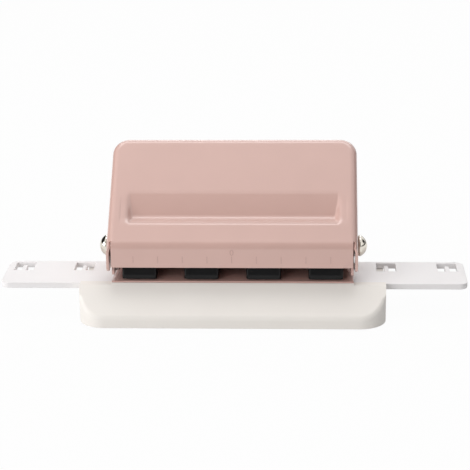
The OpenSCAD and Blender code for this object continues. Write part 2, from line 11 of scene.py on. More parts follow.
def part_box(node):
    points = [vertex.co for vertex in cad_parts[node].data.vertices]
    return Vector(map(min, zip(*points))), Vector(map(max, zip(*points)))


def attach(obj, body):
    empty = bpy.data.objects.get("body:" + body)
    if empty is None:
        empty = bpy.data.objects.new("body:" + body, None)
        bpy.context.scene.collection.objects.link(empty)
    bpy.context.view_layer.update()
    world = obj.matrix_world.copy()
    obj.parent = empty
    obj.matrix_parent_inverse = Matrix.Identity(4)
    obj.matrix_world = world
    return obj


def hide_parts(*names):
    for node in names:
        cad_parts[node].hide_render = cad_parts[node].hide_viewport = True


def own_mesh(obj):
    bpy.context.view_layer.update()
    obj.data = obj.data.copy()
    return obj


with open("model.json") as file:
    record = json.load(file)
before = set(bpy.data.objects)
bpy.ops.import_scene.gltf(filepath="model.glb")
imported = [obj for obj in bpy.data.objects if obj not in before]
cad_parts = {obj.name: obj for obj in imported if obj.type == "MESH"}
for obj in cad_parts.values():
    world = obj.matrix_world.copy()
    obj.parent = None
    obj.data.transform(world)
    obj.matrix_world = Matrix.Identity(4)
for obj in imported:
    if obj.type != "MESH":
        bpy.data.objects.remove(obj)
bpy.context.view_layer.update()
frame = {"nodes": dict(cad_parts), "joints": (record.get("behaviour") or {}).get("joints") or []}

bl_info = {
    "name": "Disc binding punch",
    "version": (1, 0, 0),
    "blender": (4, 5, 0),
    "location": "View3D > Sidebar > Punch",
    "description": "Dresses the packed punch: painted lever, moulded base, gauge, punches and studio",
    "category": "Object",
}

MM = 0.001
HOLES = range(1, 5)
SIDES = ("left", "right")
WELD = 0.002 * MM

# Angles between faces: flat, felt as an edge, shaded as an edge, cut edge of a sheet
FLAT_ANGLE = math.radians(1)
FELT_ANGLE = math.radians(25)
SHARP_ANGLE = math.radians(38)
HEM_ANGLE = math.radians(65)

# Bore rims with shorter stretches than this stay sharp
RIM_STRETCH = 1.0 * MM

# Most of a noise lies between these
NOISE_LOW, NOISE_HIGH = 0.3, 0.7

# The lever's walls before they are trimmed, then the corners of their lower edge
WALL_REACH = 18 * MM
NOSE_RADIUS = 2.5 * MM
FOOT_BACK = 2.5 * MM
FOOT_RADIUS = 6 * MM
KNEE_BACK = 6 * MM
KNEE_DROP = 5.2 * MM
KNEE_RADIUS = 12 * MM

# The nought: its gap above the tick, and half its width and height as shares of the figure's height
FIGURE_GAP = 0.4 * MM
FIGURE_HALF_WIDTH, FIGURE_HALF_HEIGHT = 0.3, 0.5
FIGURE_SIDES = 24

# How far a face's normal rises for a wall and for a ramp, and how squarely a face looks back
WALL_RISE = 0.1
RAMP_RISE_LOW, RAMP_RISE_HIGH = 0.6, 0.95
FACING = 0.9

# How deep the leaning part of a guide block is
BLOCK_NOSE = 1.2 * MM

# The springs, with the rise of a closed end as a share of the wire
SPRING_WIRE = 0.8 * MM
WIRE_SIDES = 10
TURN_STEPS = 28
BODY_TURNS = 4.5
END_TURNS = 0.75
END_RISE = 0.8

# The turned pieces
DOME_STEPS = 20
RIM_STEPS = 6
STAKE_TOP, STAKE_SHOULDER = 0.6, 0.9

# The studio
FLOOR_HALF = 4
FLOOR_GREY = (0.65, 0.65, 0.65)
FLAG_BLACK = (0.02, 0.02, 0.02)
MATT = 0.9
AIM = (0, 0, 0.03)
CAMERA_TARGET = Vector((0.63, -2.7, 31.15)) * MM
SENSOR_WIDTH = 36

lever_low, lever_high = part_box("lever")
joints = {joint["name"]: joint for joint in frame["joints"]}
pivot = Vector(joints["lever_press"]["pos_m"])
press_bar_low, press_bar_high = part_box("press_bar")
press_bar_mid = (press_bar_low + press_bar_high) / 2


def length(name, millimetres, description):
    """A length property with its default in millimetres."""
    return FloatProperty(name=name, description=description, default=millimetres * MM, unit="LENGTH",
                         precision=5)


def angle(name, degrees, description):
    """An angle property with its default in degrees."""
    return FloatProperty(name=name, description=description, default=math.radians(degrees),
                         subtype="ANGLE")


def share(name, value, description):
    """A plain number property."""
    return FloatProperty(name=name, description=description, default=value, subtype="FACTOR")


def colour(name, red, green, blue, description):
    """A colour property whose default is given as the 8-bit values that a screen shows."""
    linear = [((value / 255 + 0.055) / 1.055) ** 2.4 for value in (red, green, blue)]
    return FloatVectorProperty(name=name, description=description, default=linear, size=3,
                               subtype="COLOR", min=0, max=1)


class PunchLeverSizes(bpy.types.PropertyGroup):
    """Sizes of the drawn sheet-steel lever"""
    slope: angle("Slope", 42, "Slope of the lever's top at rest")
    sheet: length("Sheet", 1.1, "Thickness of the lever's steel sheet")
    run: length("Length", 52.2, "Length from the crease to the rear edge, along the slope")
    crease_rise: length("Crease rise", 4.2, "Height of the crease above the pivot")
    bend_radius: length("Bend radius", 5, "Radius of the bend between slope and lip")
    lip_drop: length("Lip", 9.5, "Height of the upright lip below the crease")
    edge_radius: length("Edge radius", 3, "Radius of the drawn edges")
    corner_radius: length("Corner radius", 7, "Plan radius of the rear corners")
    rear_wall: length("Rear wall", 9, "Depth of the rear wall")
    slit_inset: length("Slit inset", 2, "Distance from the lever's side to the slit beside the lip")
    slit_width: length("Slit", 0.9, "Width of the slit beside the lip")
    groove_start: length("Groove start", 10.5, "Distance from the crease to the finger groove")
    groove_ledge: length("Groove ledge", 4.3, "Length of the groove's ledge, along the slope")
    groove_run: length("Groove length", 15, "Length of the finger groove, along the slope")
    groove_depth: length("Groove depth", 3, "Depth of the finger groove")
    groove_hollow: share("Groove hollow", 0.35, "How far the groove's floor steepens towards its ledge")
    groove_margin: length("Groove margin", 4.8, "Distance from the groove's end to the lever's side")
    groove_end: length("Groove end", 4.4, "Length of the curved wall at each end of the groove")
    groove_curl: share("Groove curl", 3.4, "How quickly that wall steepens, as a power")
    groove_shift: length("Groove shift", 0.3, "How far the groove lies to the right of the middle")
    groove_corner: length("Groove corner", 2.2, "Rounding between the groove's ledge and its ends")
    groove_fillet: length("Groove fillet", 1.4, "Rounding at the bottom of the groove")
    groove_rim: length("Groove rim", 0.9, "Rounding of the rim along the groove's ledge and ends")
    groove_fold: length("Groove fold", 0.2, "Rounding of the groove's rear edge")
    hem: length("Edge rounding", 0.1, "Rounding of the sheet's cut edges")


class PunchScaleSizes(bpy.types.PropertyGroup):
    """Sizes of the scale on the lip"""
    pitch: length("Pitch", 10, "Distance between ticks")
    each_side: IntProperty(name="Ticks each side", description="Ticks on each side of the middle",
                           default=4)
    line: length("Line", 0.28, "Width of a printed line")
    tick: length("Tick", 2.9, "Height of a tick")
    lift: length("Lift", 2.0, "Height of the ticks above the lip's lower edge")
    figure: length("Figure", 2.5, "Height of the nought")
    film: length("Film", 0.03, "Thickness of the print")


class PunchPivotSizes(bpy.types.PropertyGroup):
    """Sizes of the pivot rivets and the press bar"""
    shank: length("Shank", 5, "Diameter of a rivet's shank")
    rim: length("Rim", 1.0, "Radius of the round underside of a rivet's dome")
    tail: length("Tail", 1.2, "Height of a rivet's upset tail")
    tail_over: length("Tail overhang", 0.9, "How far the tail stands out round the shank")
    seat: length("Seat gap", 0.1, "Gap between the lever and what lies against it")
    chamfer: length("Chamfer", 0.2, "Chamfer of the turned edges")
    stake: length("Stake", 4.4, "Diameter of the press bar's staked ends")
    stake_out: length("Stake height", 0.3, "How far the staked ends stand out of the lever's walls")


class PunchEdgeSizes(bpy.types.PropertyGroup):
    """How far the edges of the pieces are rounded"""
    base: length("Base edges", 1.5, "Rounding of the moulded base's front edges")
    rear: length("Rear edges", 0.3, "Rounding of the base's rear edges, which the shoulders run into")
    ridge: length("Ridge edge", 0.9, "Rounding of the ridge in front of the die plate")
    gauge: length("Gauge edges", 0.25, "Rounding of the gauge's edges")
    block: length("Block edges", 0.2, "Rounding of the guide blocks' and caps' edges")
    block_foot: length("Block foot", 1.7, "Height of a guide block's upright foot")
    block_lean: angle("Block lean", 12, "How far a guide block's face leans back above its foot")
    sheet: length("Sheet edges", 0.2, "Rounding of the steel sheets' edges")
    small: length("Small edges", 0.15, "Rounding of caps, pins and fasteners")


class PunchColours(bpy.types.PropertyGroup):
    """Colours of the finishes"""
    paint: colour("Paint", 211, 174, 164, "Paint of the lever")
    # The frame and the guide bridge carry the lever's own enamel. Their colour is set a little darker than
    # the lever's as painted shade for their place under the lever.
    frame_paint_shaded: colour("Shaded frame paint", 206, 168, 159, "Paint of the frame and the guide bridge")
    base: colour("Base", 240, 235, 229, "Moulded plastic of the base")
    gauge: colour("Gauge", 240, 237, 237, "Moulded plastic of the gauge")
    block: colour("Blocks", 15, 15, 16, "Black plastic of the guide blocks and caps")
    nickel: colour("Nickel", 222, 216, 205, "Plating of the pivot rivets")
    steel: colour("Steel", 186, 186, 184, "Bare steel of the punches, bar and fasteners")
    rubber: colour("Rubber", 52, 52, 52, "Rubber of the feet")
    ink: colour("Ink", 190, 154, 145, "Print of the scale")


class PunchStageSettings(bpy.types.PropertyGroup):
    """Camera and studio light"""
    yaw: angle("Yaw", 2.81, "Turn of the camera towards the right side")
    elevation: angle("Elevation", 18.25, "Height of the camera above the level, as an angle")
    roll: angle("Roll", -0.74, "Tilt of the camera about its line of sight")
    distance: length("Distance", 681.2, "Distance from the camera to its target")
    lens: FloatProperty(name="Lens", description="Focal length of the camera in millimetres",
                        default=126.27)
    overhead: FloatProperty(name="Overhead", description="Power of the overhead softbox", default=1.28,
                            unit="POWER")
    key: FloatProperty(name="Key", description="Power of the softbox on the left", default=2.3,
                       unit="POWER")
    fill: FloatProperty(name="Fill", description="Power of the softbox on the right", default=0.1,
                        unit="POWER")
    front: FloatProperty(name="Front", description="Power of the low softbox in front", default=3.1,
                         unit="POWER")
    rear: FloatProperty(name="Rear", description="Power of the softbox behind", default=1.35, unit="POWER")
    ambient: share("Ambient", 0.45, "Strength of the light from all round")
    floor_white: share("Floor white", 0.97, "Share of plain white in the floor as the camera sees it")


# Finishes

def new_finish(name, base, roughness, metallic=0.0, coat=0.0, coat_roughness=0.1):
    """A material with one main shader, and that shader."""
    material = bpy.data.materials.new(name)
    material.use_nodes = True
    main = material.node_tree.nodes["Principled BSDF"]
    main.inputs["Base Color"].default_value = (*base, 1)
    main.inputs["Roughness"].default_value = roughness
    main.inputs["Metallic"].default_value = metallic
    main.inputs["Coat Weight"].default_value = coat
    main.inputs["Coat Roughness"].default_value = coat_roughness
    material.diffuse_color = (*base, 1)
    return material, main


def grain(main, scale, detail=2.0, stretch=(1, 1, 1)):
    """Noise on the piece's own coordinates, as a number from 0 to 1."""
    tree = main.id_data
    place = tree.nodes.new("ShaderNodeTexCoord")
    stretched = tree.nodes.new("ShaderNodeMapping")
    stretched.inputs["Scale"].default_value = stretch
    noise = tree.nodes.new("ShaderNodeTexNoise")
    noise.inputs["Scale"].default_value = scale
    noise.inputs["Detail"].default_value = detail
    tree.links.new(place.outputs["Object"], stretched.inputs["Vector"])
    tree.links.new(stretched.outputs["Vector"], noise.inputs["Vector"])
    return noise.outputs["Fac"]


def vary_colour(main, pattern, dark, light):
    """The base colour runs between a darker and a lighter tone of itself."""
    tree = main.id_data
    base = main.inputs["Base Color"].default_value[:3]
    ramp = tree.nodes.new("ShaderNodeValToRGB")
    ramp.color_ramp.elements[0].position = NOISE_LOW
    ramp.color_ramp.elements[1].position = NOISE_HIGH
    ramp.color_ramp.elements[0].color = (*(channel * dark for channel in base), 1)
    ramp.color_ramp.elements[1].color = (*(min(channel * light, 1) for channel in base), 1)
    tree.links.new(pattern, ramp.inputs["Fac"])
    tree.links.new(ramp.outputs["Color"], main.inputs["Base Color"])


def vary_roughness(main, pattern, spread):
    """The roughness wanders by spread on each side of its value."""
    tree = main.id_data
    middle = main.inputs["Roughness"].default_value
    span = tree.nodes.new("ShaderNodeMapRange")
    span.inputs["From Min"].default_value = NOISE_LOW
    span.inputs["From Max"].default_value = NOISE_HIGH
    span.inputs["To Min"].default_value = middle - spread
    span.inputs["To Max"].default_value = middle + spread
    tree.links.new(pattern, span.inputs["Value"])
    tree.links.new(span.outputs["Result"], main.inputs["Roughness"])


def add_bump(main, pattern, height, strength=1.0):
    """Bump of the given height in metres."""
    tree = main.id_data
    bump = tree.nodes.new("ShaderNodeBump")
    bump.inputs["Strength"].default_value = strength
    bump.inputs["Distance"].default_value = height
    tree.links.new(pattern, bump.inputs["Height"])
    tree.links.new(bump.outputs["Normal"], main.inputs["Normal"])


def paint_finish(name, base):
    """Stoved enamel on sheet steel, with a fine orange peel."""
    material, main = new_finish(name, base, 0.4, coat=1.0, coat_roughness=0.07)
    vary_colour(main, grain(main, 60), 0.985, 1.015)
    vary_roughness(main, grain(main, 250), 0.04)
    add_bump(main, grain(main, 900), 0.01 * MM, 0.1)
    return material


def moulded_finish(name, base, roughness):
    """Moulded plastic with a fine eroded texture."""
    material, main = new_finish(name, base, roughness)
    vary_colour(main, grain(main, 40), 0.985, 1.01)
    vary_roughness(main, grain(main, 300), 0.05)
    add_bump(main, grain(main, 2500, 4), 0.02 * MM, 0.3)
    return material


def black_finish(name, base):
    """Satin black plastic with faint flow marks."""
    material, main = new_finish(name, base, 0.35)
    main.inputs["Specular IOR Level"].default_value = 0.25
    vary_colour(main, grain(main, 120), 0.85, 1.2)
    vary_roughness(main, grain(main, 500, stretch=(0.2, 1, 1)), 0.06)
    add_bump(main, grain(main, 1200), 0.01 * MM, 0.3)
    return material


def metal_finish(name, base, roughness, stretch=(1, 1, 1)):
    """Bare or plated metal with fine marks that run along the stretched axis."""
    material, main = new_finish(name, base, roughness, metallic=1.0)
    vary_colour(main, grain(main, 150), 0.94, 1.04)
    vary_roughness(main, grain(main, 1500, 4, stretch), 0.4 * roughness)
    add_bump(main, grain(main, 1500, 3, stretch), 0.004 * MM, 0.12)
    return material


def plate_finish(name, base):
    """Bright plating with faint handling marks."""
    material, main = new_finish(name, base, 0.07, metallic=1.0)
    vary_colour(main, grain(main, 300), 0.96, 1.03)
    vary_roughness(main, grain(main, 700, 4), 0.03)
    return material


def rubber_finish(name, base):
    """Matt rubber with a dusty bloom."""
    material, main = new_finish(name, base, 0.8)
    vary_colour(main, grain(main, 400, 4), 0.8, 1.3)
    vary_roughness(main, grain(main, 700), 0.08)
    add_bump(main, grain(main, 1800, 4), 0.03 * MM, 0.5)
    return material


def ink_finish(name, base):
    """Pad print, a little uneven."""
    material, main = new_finish(name, base, 0.55)
    vary_colour(main, grain(main, 1500), 0.93, 1.07)
    vary_roughness(main, grain(main, 900), 0.05)
    return material


def make_finishes(colours):
    """Every finish by its slot in the record, with the ink beside them."""
    white = moulded_finish("moulded white", colours.base, 0.5)
    return {
        "pink_lever": paint_finish("lever paint", colours.paint),
        # The same enamel as the lever, made darker as painted shade
        "pink_frame": paint_finish("shaded frame paint", colours.frame_paint_shaded),
        "white_base": white,
        "white_gauge": moulded_finish("gauge white", colours.gauge, 0.45),
        "white_washer": white,
        "black_block": black_finish("guide black", colours.block),
        "black_cap": black_finish("cap black", colours.block),
        "spring_steel": metal_finish("spring steel", colours.steel, 0.25),
        "steel": metal_finish("brushed steel", colours.steel, 0.32, (0.1, 1, 1)),
        "nickel": plate_finish("nickel plate", colours.nickel),
        "rubber": rubber_finish("foot rubber", colours.rubber),
        "ink": ink_finish("scale ink", colours.ink),
    }


def finish_of(slot):
    """The finish of a slot, made with the others at its first use."""
    if not finishes:
        finishes.update(make_finishes(bpy.context.scene.punch_colours))
    return finishes[slot]


finishes = {}


# Shapes

def node_copy(node):
    """A bmesh of a CAD node, with its loose triangles merged and its flat faces made whole."""
    bm = bmesh.new()
    bm.from_mesh(frame["nodes"][node].data)
    bmesh.ops.remove_doubles(bm, verts=bm.verts, dist=WELD)
    bmesh.ops.dissolve_limit(bm, angle_limit=FLAT_ANGLE, verts=bm.verts, edges=bm.edges)
    return bm


def rims_bore(edge):
    """Whether an edge is a short stretch of a bore's rim, where rounding has no room."""
    if edge.calc_length() > RIM_STRETCH:
        return False
    near = {other for vert in edge.verts for other in vert.link_edges if other != edge}
    beside = [other for other in near if other.is_manifold and set(other.link_faces) & set(edge.link_faces)]
    hollow = [other for other in beside if not other.is_convex]
    return any(FLAT_ANGLE < other.calc_face_angle() < SHARP_ANGLE for other in hollow)


def sharp_edges(bm):
    """The edges that a hand would feel, apart from the rims of small bores."""
    felt = [edge for edge in bm.edges if edge.is_manifold and edge.calc_face_angle() > FELT_ANGLE]
    return [edge for edge in felt if not rims_bore(edge)]


def soften(bm, width, segments=3, edges=None):
    """Rounds the given edges, or every edge that is sharp."""
    chosen = sharp_edges(bm) if edges is None else edges
    bmesh.ops.bevel(bm, geom=chosen, offset=width, offset_type="OFFSET", segments=segments, profile=0.5,
                    affect="EDGES", clamp_overlap=False, material=-1, loop_slide=True)
    bmesh.ops.dissolve_degenerate(bm, edges=bm.edges, dist=WELD)


def turned(outline, centre, steps=64):
    """A shape turned about the X axis through a centre, from points of place along X and radius."""
    bm = bmesh.new()
    verts = [bm.verts.new(centre + Vector((place, 0, radius))) for place, radius in outline]
    edges = [bm.edges.new(ends) for ends in zip(verts, verts[1:])]
    bmesh.ops.spin(bm, geom=verts + edges, cent=centre, axis=(1, 0, 0), angle=2 * math.pi, steps=steps,
                   use_merge=True)
    bmesh.ops.remove_doubles(bm, verts=bm.verts, dist=WELD)
    bmesh.ops.recalc_face_normals(bm, faces=bm.faces)
    return bm


def add_piece(name, bm, body, slot, nodes=(), finish=None):
    """The bmesh as a piece that rides a body and stands for its CAD nodes."""
    mesh = bpy.data.meshes.new(name)
    bm.to_mesh(mesh)
    bm.free()
    mesh.materials.append(finish_of(finish or slot))
    for polygon in mesh.polygons:
        polygon.use_smooth = True
    mesh.set_sharp_from_angle(angle=SHARP_ANGLE)
    piece = bpy.data.objects.new(name, mesh)
    bpy.context.scene.collection.objects.link(piece)
    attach(piece, body)
    if nodes:
        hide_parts(*nodes)
    return piece


def even_normals(piece):
    """Keeps large flat faces flat in their shading."""
    weigh = piece.modifiers.new("even normals", "WEIGHTED_NORMAL")
    weigh.keep_sharp = True


def dress_node(node, body, slot, width, segments=3):
    """A piece with a node's own shape and rounded edges."""
    bm = node_copy(node)
    soften(bm, width, segments)
    piece = add_piece(node + "_shape", bm, body, slot, [node])
    even_normals(piece)
    return piece


def spread(start, *stretches):
    """Values from start through the end of each stretch, each cut into its own count of steps."""
    values = [start]
    for end, count in stretches:
        first = values[-1]
        values += [first + (end - first) * step / count for step in range(1, count + 1)]
    return values


def soft_least(first, second, reach):
    """The lesser of two numbers, with a round change-over of the given reach."""
    near = max(reach - abs(first - second), 0) / reach
    return min(first, second) - near * near * reach / 4


class DrawnSheet:
    """Where the points of a flat blank lie once it is drawn into the lever.

    The blank has a place across, from the middle to a side, and a place along, from the crease to the rear.
    The drawn point is in the slope's own frame: X across, Y up the slope and Z out of it.
    """

    def __init__(self, sizes, half_width):
        self.sizes = sizes
        self.flat = sizes.corner_radius - sizes.edge_radius
        self.arc = sizes.edge_radius * math.pi / 2
        self.corner_x = half_width - sizes.corner_radius
        self.corner_y = sizes.run - sizes.corner_radius
        self.turn = math.pi / 2 - sizes.slope
        self.tangent = sizes.bend_radius * math.tan(self.turn / 2)
        self.bend = sizes.bend_radius * self.turn
        self.lip_end = self.tangent - self.bend - (sizes.lip_drop - self.tangent)

    def section(self, reach):
        """Distance outwards and height at a reach from the corner's centre: flat, edge, then wall."""
        radius = self.sizes.edge_radius
        if reach <= self.flat:
            return reach, 0.0
        turned = (reach - self.flat) / radius
        if turned <= math.pi / 2:
            return self.flat + radius * math.sin(turned), radius * (math.cos(turned) - 1)
        return self.flat + radius, self.flat + self.arc - reach - radius

    def groove(self, across, along):
        """Depth of the finger groove."""
        sizes = self.sizes
        reach = self.corner_x + sizes.corner_radius - sizes.groove_margin
        ledge = (along - sizes.groove_start) * sizes.groove_depth / sizes.groove_ledge
        gone = (sizes.groove_start + sizes.groove_run - along) / (sizes.groove_run - sizes.groove_ledge)
        floor = sizes.groove_depth * gone * (1 + sizes.groove_hollow * (gone - 1))
        end = reach - abs(across - sizes.groove_shift)
        if end > 0:
            end = sizes.groove_depth * (end / sizes.groove_end) ** sizes.groove_curl
        wall = soft_least(ledge, end, sizes.groove_corner)
        sunk = -soft_least(0, -wall, sizes.groove_rim)
        return -soft_least(0, -soft_least(sunk, floor, sizes.groove_fillet), sizes.groove_fold)

    def tray_point(self, across, along):
        """A point of the tray, whose slope runs straight on past the crease."""
        side = math.copysign(1, across)
        out_x = abs(across) - self.corner_x
        out_y = along - self.corner_y
        if out_x <= 0 and out_y <= 0:
            return Vector((across, along, -self.groove(across, along)))
        reach = max(out_x, out_y)
        distance, height = self.section(reach)
        if out_y <= 0:
            height -= self.groove(across, along)
            return Vector((side * (self.corner_x + distance), along, height))
        if out_x <= 0:
            return Vector((across, self.corner_y + distance, height))
        if out_x >= out_y:
            direction = math.pi / 4 * out_y / out_x
        else:
            direction = math.pi / 2 - math.pi / 4 * out_x / out_y
        return Vector((side * (self.corner_x + distance * math.cos(direction)),
                       self.corner_y + distance * math.sin(direction), height))

    def lip_point(self, across, along):
        """A point of the bend or the lip, below the straight slope."""
        radius = self.sizes.bend_radius
        turned = min((self.tangent - along) / radius, self.turn)
        past = self.tangent - along - radius * turned
        return Vector((across, self.tangent - radius * math.sin(turned) - past * math.cos(self.turn),
                       radius * (math.cos(turned) - 1) - past * math.sin(self.turn)))


def cut_side(bm, corner, first, second, radius, steps, reach):
    """Trims the walls that reach past an X to a round corner between two straight edges.

    first and second are the edges' outward angles in the side view, where 0 points to the rear.
    """
    ways = [Vector((0, math.cos(turn), math.sin(turn))) for turn in (first, second)]
    centre = corner - radius * (ways[0] + ways[1]) / (1 + ways[0].dot(ways[1]))
    for step in range(steps + 1):
        turn = first + (second - first) * step / steps
        way = Vector((0, math.cos(turn), math.sin(turn)))
        walls = [vert for vert in bm.verts if abs(vert.co.x) > reach]
        faces = [face for face in bm.faces if all(abs(vert.co.x) > reach for vert in face.verts)]
        edges = {edge for face in faces for edge in face.edges}
        bmesh.ops.bisect_plane(bm, geom=walls + list(edges) + faces, dist=WELD / 10,
                               plane_co=centre + radius * way, plane_no=way, clear_outer=True)


class PUNCH_OT_lever(bpy.types.Operator):
    """Draw the sheet-steel lever with its groove, lip and walls"""
    bl_idname = "punch.lever"
    bl_label = "Lever"

    def execute(self, context):
        sizes = context.scene.punch_lever
        half = (lever_high.x - lever_low.x) / 2
        sheet = DrawnSheet(sizes, half)
        edge_start = half - sizes.edge_radius
        slit_turns = [math.asin((half - sizes.slit_inset + shift - edge_start) / sizes.edge_radius)
                      for shift in (0, sizes.slit_width)]
        slit = [edge_start + sizes.edge_radius * turned for turned in slit_turns]
        edge_end = edge_start + sheet.arc
        groove_reach = half - sizes.groove_margin
        before_end, before_ledge, past = 2 * MM, 1.2 * MM, 1.5 * MM
        half_across = spread(0, (groove_reach - sizes.groove_end - before_end, 8), (groove_reach + past, 30),
                             (edge_start, 3), (slit[0], 2), (slit[1], 2), (edge_end, 5),
                             (edge_end + WALL_REACH, 4))
        across = [-value for value in reversed(half_across[1:])] + half_across
        groove_back = sizes.groove_start + sizes.groove_run
        rear_edge = sheet.corner_y + sheet.flat + sheet.arc
        along = spread(sheet.lip_end, (sheet.tangent - sheet.bend, 4), (sheet.tangent, 16),
                       (sizes.groove_start - before_ledge, 4),
                       (sizes.groove_start + sizes.groove_ledge + past, 32), (groove_back - before_end, 22),
                       (groove_back + past, 12), (sheet.corner_y, 4), (sheet.corner_y + sheet.flat, 4),
                       (rear_edge, 8), (rear_edge + WALL_REACH, 4))
        bm = bmesh.new()
        bmesh.ops.create_grid(bm, x_segments=len(across) - 1, y_segments=len(along) - 1, size=1)
        places = {}
        for vert in bm.verts:
            column = round((vert.co.x + 1) / 2 * (len(across) - 1))
            row = round((vert.co.y + 1) / 2 * (len(along) - 1))
            places[vert] = across[column], along[row]
        slit_faces = []
        for face in bm.faces:
            out = [abs(places[vert][0]) for vert in face.verts]
            up = [places[vert][1] for vert in face.verts]
            if min(out) > slit[0] - WELD and max(out) < slit[1] + WELD and max(up) < sheet.tangent + WELD:
                slit_faces.append(face)
        for vert, (x, y) in places.items():
            bent = y < sheet.tangent and abs(x) < (slit[0] + slit[1]) / 2
            vert.co = sheet.lip_point(x, y) if bent else sheet.tray_point(x, y)
        bmesh.ops.delete(bm, geom=slit_faces, context="FACES")
        crease = Vector((0, lever_low.y, pivot.z + sizes.crease_rise))
        stand = Matrix.Translation(crease) @ Matrix.Rotation(sizes.slope, 4, "X")
        bmesh.ops.transform(bm, matrix=stand, verts=bm.verts)
        self.trim(bm, sizes, stand, half - sizes.slit_inset + sizes.slit_width / 2)
        piece = add_piece("lever_shell", bm, "lever", "pink_lever", ["lever"])
        wall = piece.modifiers.new("sheet", "SOLIDIFY")
        wall.thickness = sizes.sheet
        wall.offset = -1
        wall.use_even_offset = True
        hem = piece.modifiers.new("hem", "BEVEL")
        hem.width = sizes.hem
        hem.segments = 2
        hem.limit_method = "ANGLE"
        hem.angle_limit = HEM_ANGLE
        hem.use_clamp_overlap = False
        even_normals(piece)
        return {"FINISHED"}

    def trim(self, bm, sizes, stand, reach):
        """Cuts the walls' lower edge, from the front nose past the press bar to the rear wall."""
        low = lever_low.z
        front = lever_low.y
        foot = Vector((0, pivot.y + FOOT_BACK, low))
        rear = stand @ Vector((0, sizes.run, -sizes.rear_wall))
        bar = stand.inverted() @ press_bar_mid
        knee = stand @ Vector((0, bar.y + KNEE_BACK, bar.z - KNEE_DROP))
        way = [math.atan2(end.z - start.z, end.y - start.y) - math.pi / 2
               for start, end in ((foot, knee), (knee, rear))]
        down = -math.pi / 2
        cut_side(bm, Vector((0, front, low)), -math.pi, down, NOSE_RADIUS, 6, reach)
        cut_side(bm, foot, down, way[0], FOOT_RADIUS, 5, reach)
        cut_side(bm, knee, way[0], way[1], KNEE_RADIUS, 3, -1)


class PUNCH_OT_scale(bpy.types.Operator):
    """Print the ticks and the nought on the lip"""
    bl_idname = "punch.scale"
    bl_label = "Scale"

    def execute(self, context):
        sizes = context.scene.punch_scale
        lever = context.scene.punch_lever
        front = lever_low.y
        lip_z = pivot.z + lever.crease_rise - lever.lip_drop
        tick_z = lip_z + sizes.lift
        bm = bmesh.new()
        for step in range(-sizes.each_side, sizes.each_side + 1):
            place = Matrix.Translation((step * sizes.pitch, front, tick_z + sizes.tick / 2))
            size = Matrix.Diagonal((sizes.line, 2 * sizes.film, sizes.tick, 1))
            bmesh.ops.create_cube(bm, size=1, matrix=place @ size)
        figure_z = tick_z + sizes.tick + FIGURE_GAP + sizes.figure / 2
        self.nought(bm, sizes, Vector((0, front, figure_z)))
        add_piece("lip_scale", bm, "lever", "pink_lever", finish="ink")
        return {"FINISHED"}

    def nought(self, bm, sizes, centre):
        """A thin upright oval ring."""
        upright = Matrix.Rotation(math.pi / 2, 4, "X")
        loops = []
        for inset in (0, sizes.line):
            shape = Matrix.Diagonal((FIGURE_HALF_WIDTH * sizes.figure - inset,
                                     FIGURE_HALF_HEIGHT * sizes.figure - inset, 1, 1))
            made = bmesh.ops.create_circle(bm, segments=FIGURE_SIDES, radius=1,
                                           matrix=Matrix.Translation(centre) @ upright @ shape)
            loops += list({edge for vert in made["verts"] for edge in vert.link_edges})
        ring = bmesh.ops.bridge_loops(bm, edges=loops)
        thick = bmesh.ops.extrude_face_region(bm, geom=ring["faces"])
        verts = [item for item in thick["geom"] if isinstance(item, bmesh.types.BMVert)]
        bmesh.ops.translate(bm, vec=(0, -sizes.film, 0), verts=verts)
        bmesh.ops.recalc_face_normals(bm, faces=bm.faces)


class PUNCH_OT_base(bpy.types.Operator):
    """Mould the base, its chip cover and its feet"""
    bl_idname = "punch.base"
    bl_label = "Base"

    def execute(self, context):
        edges = context.scene.punch_edges
        self.mould_tray(edges)
        dress_node("chip_cover", "chip_cover", "white_base", edges.sheet)
        dress_node("cover_hinge_pin", "base", "steel", edges.small)
        dress_node("rubber_feet", "base", "rubber", edges.small)
        return {"FINISHED"}

    def mould_tray(self, edges):
        """The tray, rounded where its walls meet the ramps, most at the front."""
        bm = node_copy("base_tray")
        plate_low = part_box("frame")[0]
        front, rear, crest = [], [], []
        for edge in sharp_edges(bm):
            rises = sorted(face.normal.z for face in edge.link_faces)
            if abs(rises[0]) > WALL_RISE or not RAMP_RISE_LOW < rises[1] < RAMP_RISE_HIGH:
                continue
            if not any(vert.co.y < plate_low.y and vert.co.z > plate_low.z + WELD for vert in edge.verts):
                side = front if all(vert.co.y < 0 for vert in edge.verts) else rear
                side.append(edge)
            elif any(face.normal.y > FACING for face in edge.link_faces):
                crest.append(edge)
        soften(bm, edges.ridge, 4, crest)
        soften(bm, edges.base, 5, [edge for edge in front if edge.is_valid])
        soften(bm, edges.rear, 3, [edge for edge in rear if edge.is_valid])
        piece = add_piece("base_tray_shape", bm, "base", "white_base", ["base_tray"])
        even_normals(piece)


class PUNCH_OT_gauge(bpy.types.Operator):
    """Mould the sliding gauge"""
    bl_idname = "punch.gauge"
    bl_label = "Gauge"

    def execute(self, context):
        dress_node("gauge", "gauge", "white_gauge", context.scene.punch_edges.gauge)
        return {"FINISHED"}


class PUNCH_OT_frame(bpy.types.Operator):
    """Fold the steel frame and the guide bridge"""
    bl_idname = "punch.frame"
    bl_label = "Frame"

    def execute(self, context):
        edges = context.scene.punch_edges
        dress_node("frame", "base", "pink_frame", edges.sheet)
        dress_node("guide_bridge", "base", "pink_frame", edges.sheet)
        return {"FINISHED"}


